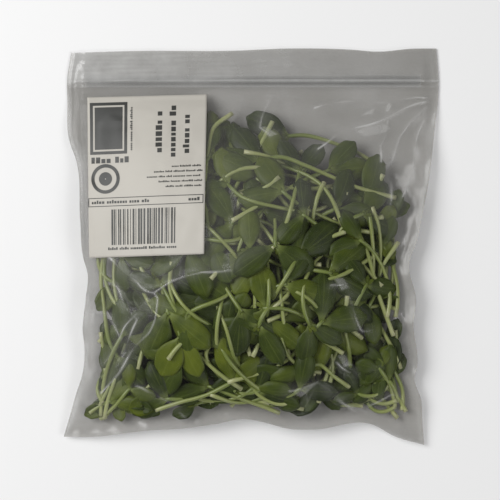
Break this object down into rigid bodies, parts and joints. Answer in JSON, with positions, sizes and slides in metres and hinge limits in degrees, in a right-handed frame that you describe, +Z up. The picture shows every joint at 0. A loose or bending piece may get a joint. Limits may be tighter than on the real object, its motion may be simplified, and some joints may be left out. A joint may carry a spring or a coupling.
{
  "type": "bag of sunflower shoots",
  "caption": "Clear press-seal plastic bag, lying on its back, filled with cut sunflower shoots, with a square paper label on the upper left of its front",
  "frame": {"origin": "On the table, under the middle of the bag's outline", "axes": "+Z up, away from the table, +Y along the bag from its bottom seam to its press seal, +X to the right of someone who reads the label"},
  "size_m": [0.1778, 0.188, 0.037],
  "materials": {
    "film": "clear, glossy",
    "zip": "clear, glossy",
    "label_paper": "matte",
    "shoot": "satin, leafy"
  },
  "bodies": {
    "root": {"bag_film": "film", "label": "label_paper", "shoot_01": "shoot", "shoot_02": "shoot", "shoot_03": "shoot", "shoot_04": "shoot", "shoot_05": "shoot", "shoot_06": "shoot", "shoot_07": "shoot", "shoot_08": "shoot", "shoot_09": "shoot", "shoot_10": "shoot", "shoot_11": "shoot", "shoot_12": "shoot", "shoot_13": "shoot", "shoot_14": "shoot", "shoot_15": "shoot", "shoot_16": "shoot", "shoot_17": "shoot", "shoot_18": "shoot", "shoot_19": "shoot", "shoot_20": "shoot", "shoot_21": "shoot", "shoot_22": "shoot", "shoot_23": "shoot", "shoot_24": "shoot", "shoot_25": "shoot", "shoot_26": "shoot", "shoot_27": "shoot", "shoot_28": "shoot", "shoot_29": "shoot", "shoot_30": "shoot", "shoot_31": "shoot", "shoot_32": "shoot", "shoot_33": "shoot", "shoot_34": "shoot", "shoot_35": "shoot", "shoot_36": "shoot", "shoot_37": "shoot", "shoot_38": "shoot", "shoot_39": "shoot", "shoot_40": "shoot", "shoot_41": "shoot", "shoot_42": "shoot", "shoot_43": "shoot", "shoot_44": "shoot", "shoot_45": "shoot", "shoot_46": "shoot", "shoot_47": "shoot", "zip_rib_strip": "zip", "zip_socket_strip": "zip"}
  },
  "joints": []
}
